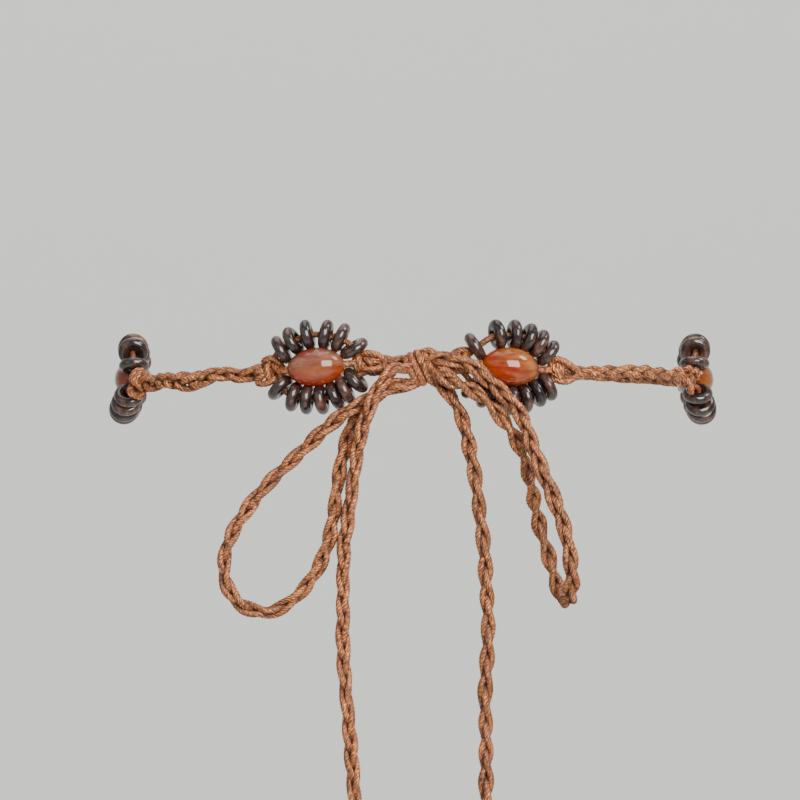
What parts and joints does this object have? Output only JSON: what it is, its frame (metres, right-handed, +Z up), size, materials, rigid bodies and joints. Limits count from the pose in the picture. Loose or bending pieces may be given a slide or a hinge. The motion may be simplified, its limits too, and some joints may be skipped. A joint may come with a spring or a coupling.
{
  "type": "braided cord belt with flower medallions",
  "caption": "Thin belt of plaited waxed cord with flowers of oval agate and wooden ring beads, tied in a bow.",
  "frame": {"origin": "middle of the waist that the belt goes round, at the belt's mean height", "axes": "+X across the waist to the viewer's right, the bow at the front on -Y, +Z up"},
  "size_m": [0.254, 0.2076, 0.2179],
  "materials": {
    "cord": "waxed cotton, low sheen",
    "agate_bead": "polished banded agate",
    "ring_bead": "dark polished wood"
  },
  "bodies": {
    "root": {"left_side_bead": "agate_bead", "left_side_bead_cord": "cord", "left_side_rings_upper": "ring_bead", "left_side_rings_lower": "ring_bead", "left_side_knot_a": "cord", "left_side_knot_b": "cord", "front_left_bead": "agate_bead", "front_left_bead_cord": "cord", "front_left_rings_upper": "ring_bead", "front_left_rings_lower": "ring_bead", "front_left_knot_a": "cord", "front_left_knot_b": "cord", "front_right_bead": "agate_bead", "front_right_bead_cord": "cord", "front_right_rings_upper": "ring_bead", "front_right_rings_lower": "ring_bead", "front_right_knot_a": "cord", "front_right_knot_b": "cord", "right_side_bead": "agate_bead", "right_side_bead_cord": "cord", "right_side_rings_upper": "ring_bead", "right_side_rings_lower": "ring_bead", "right_side_knot_a": "cord", "right_side_knot_b": "cord", "braid_back": "cord", "braid_left": "cord", "braid_right": "cord", "braid_front_left": "cord", "braid_front_right": "cord", "bow_knot": "cord", "bow_loop_left": "cord", "bow_loop_right": "cord", "tail_left": "cord", "tail_right": "cord", "tail_knot_left": "cord", "tail_knot_right": "cord"}
  },
  "joints": []
}
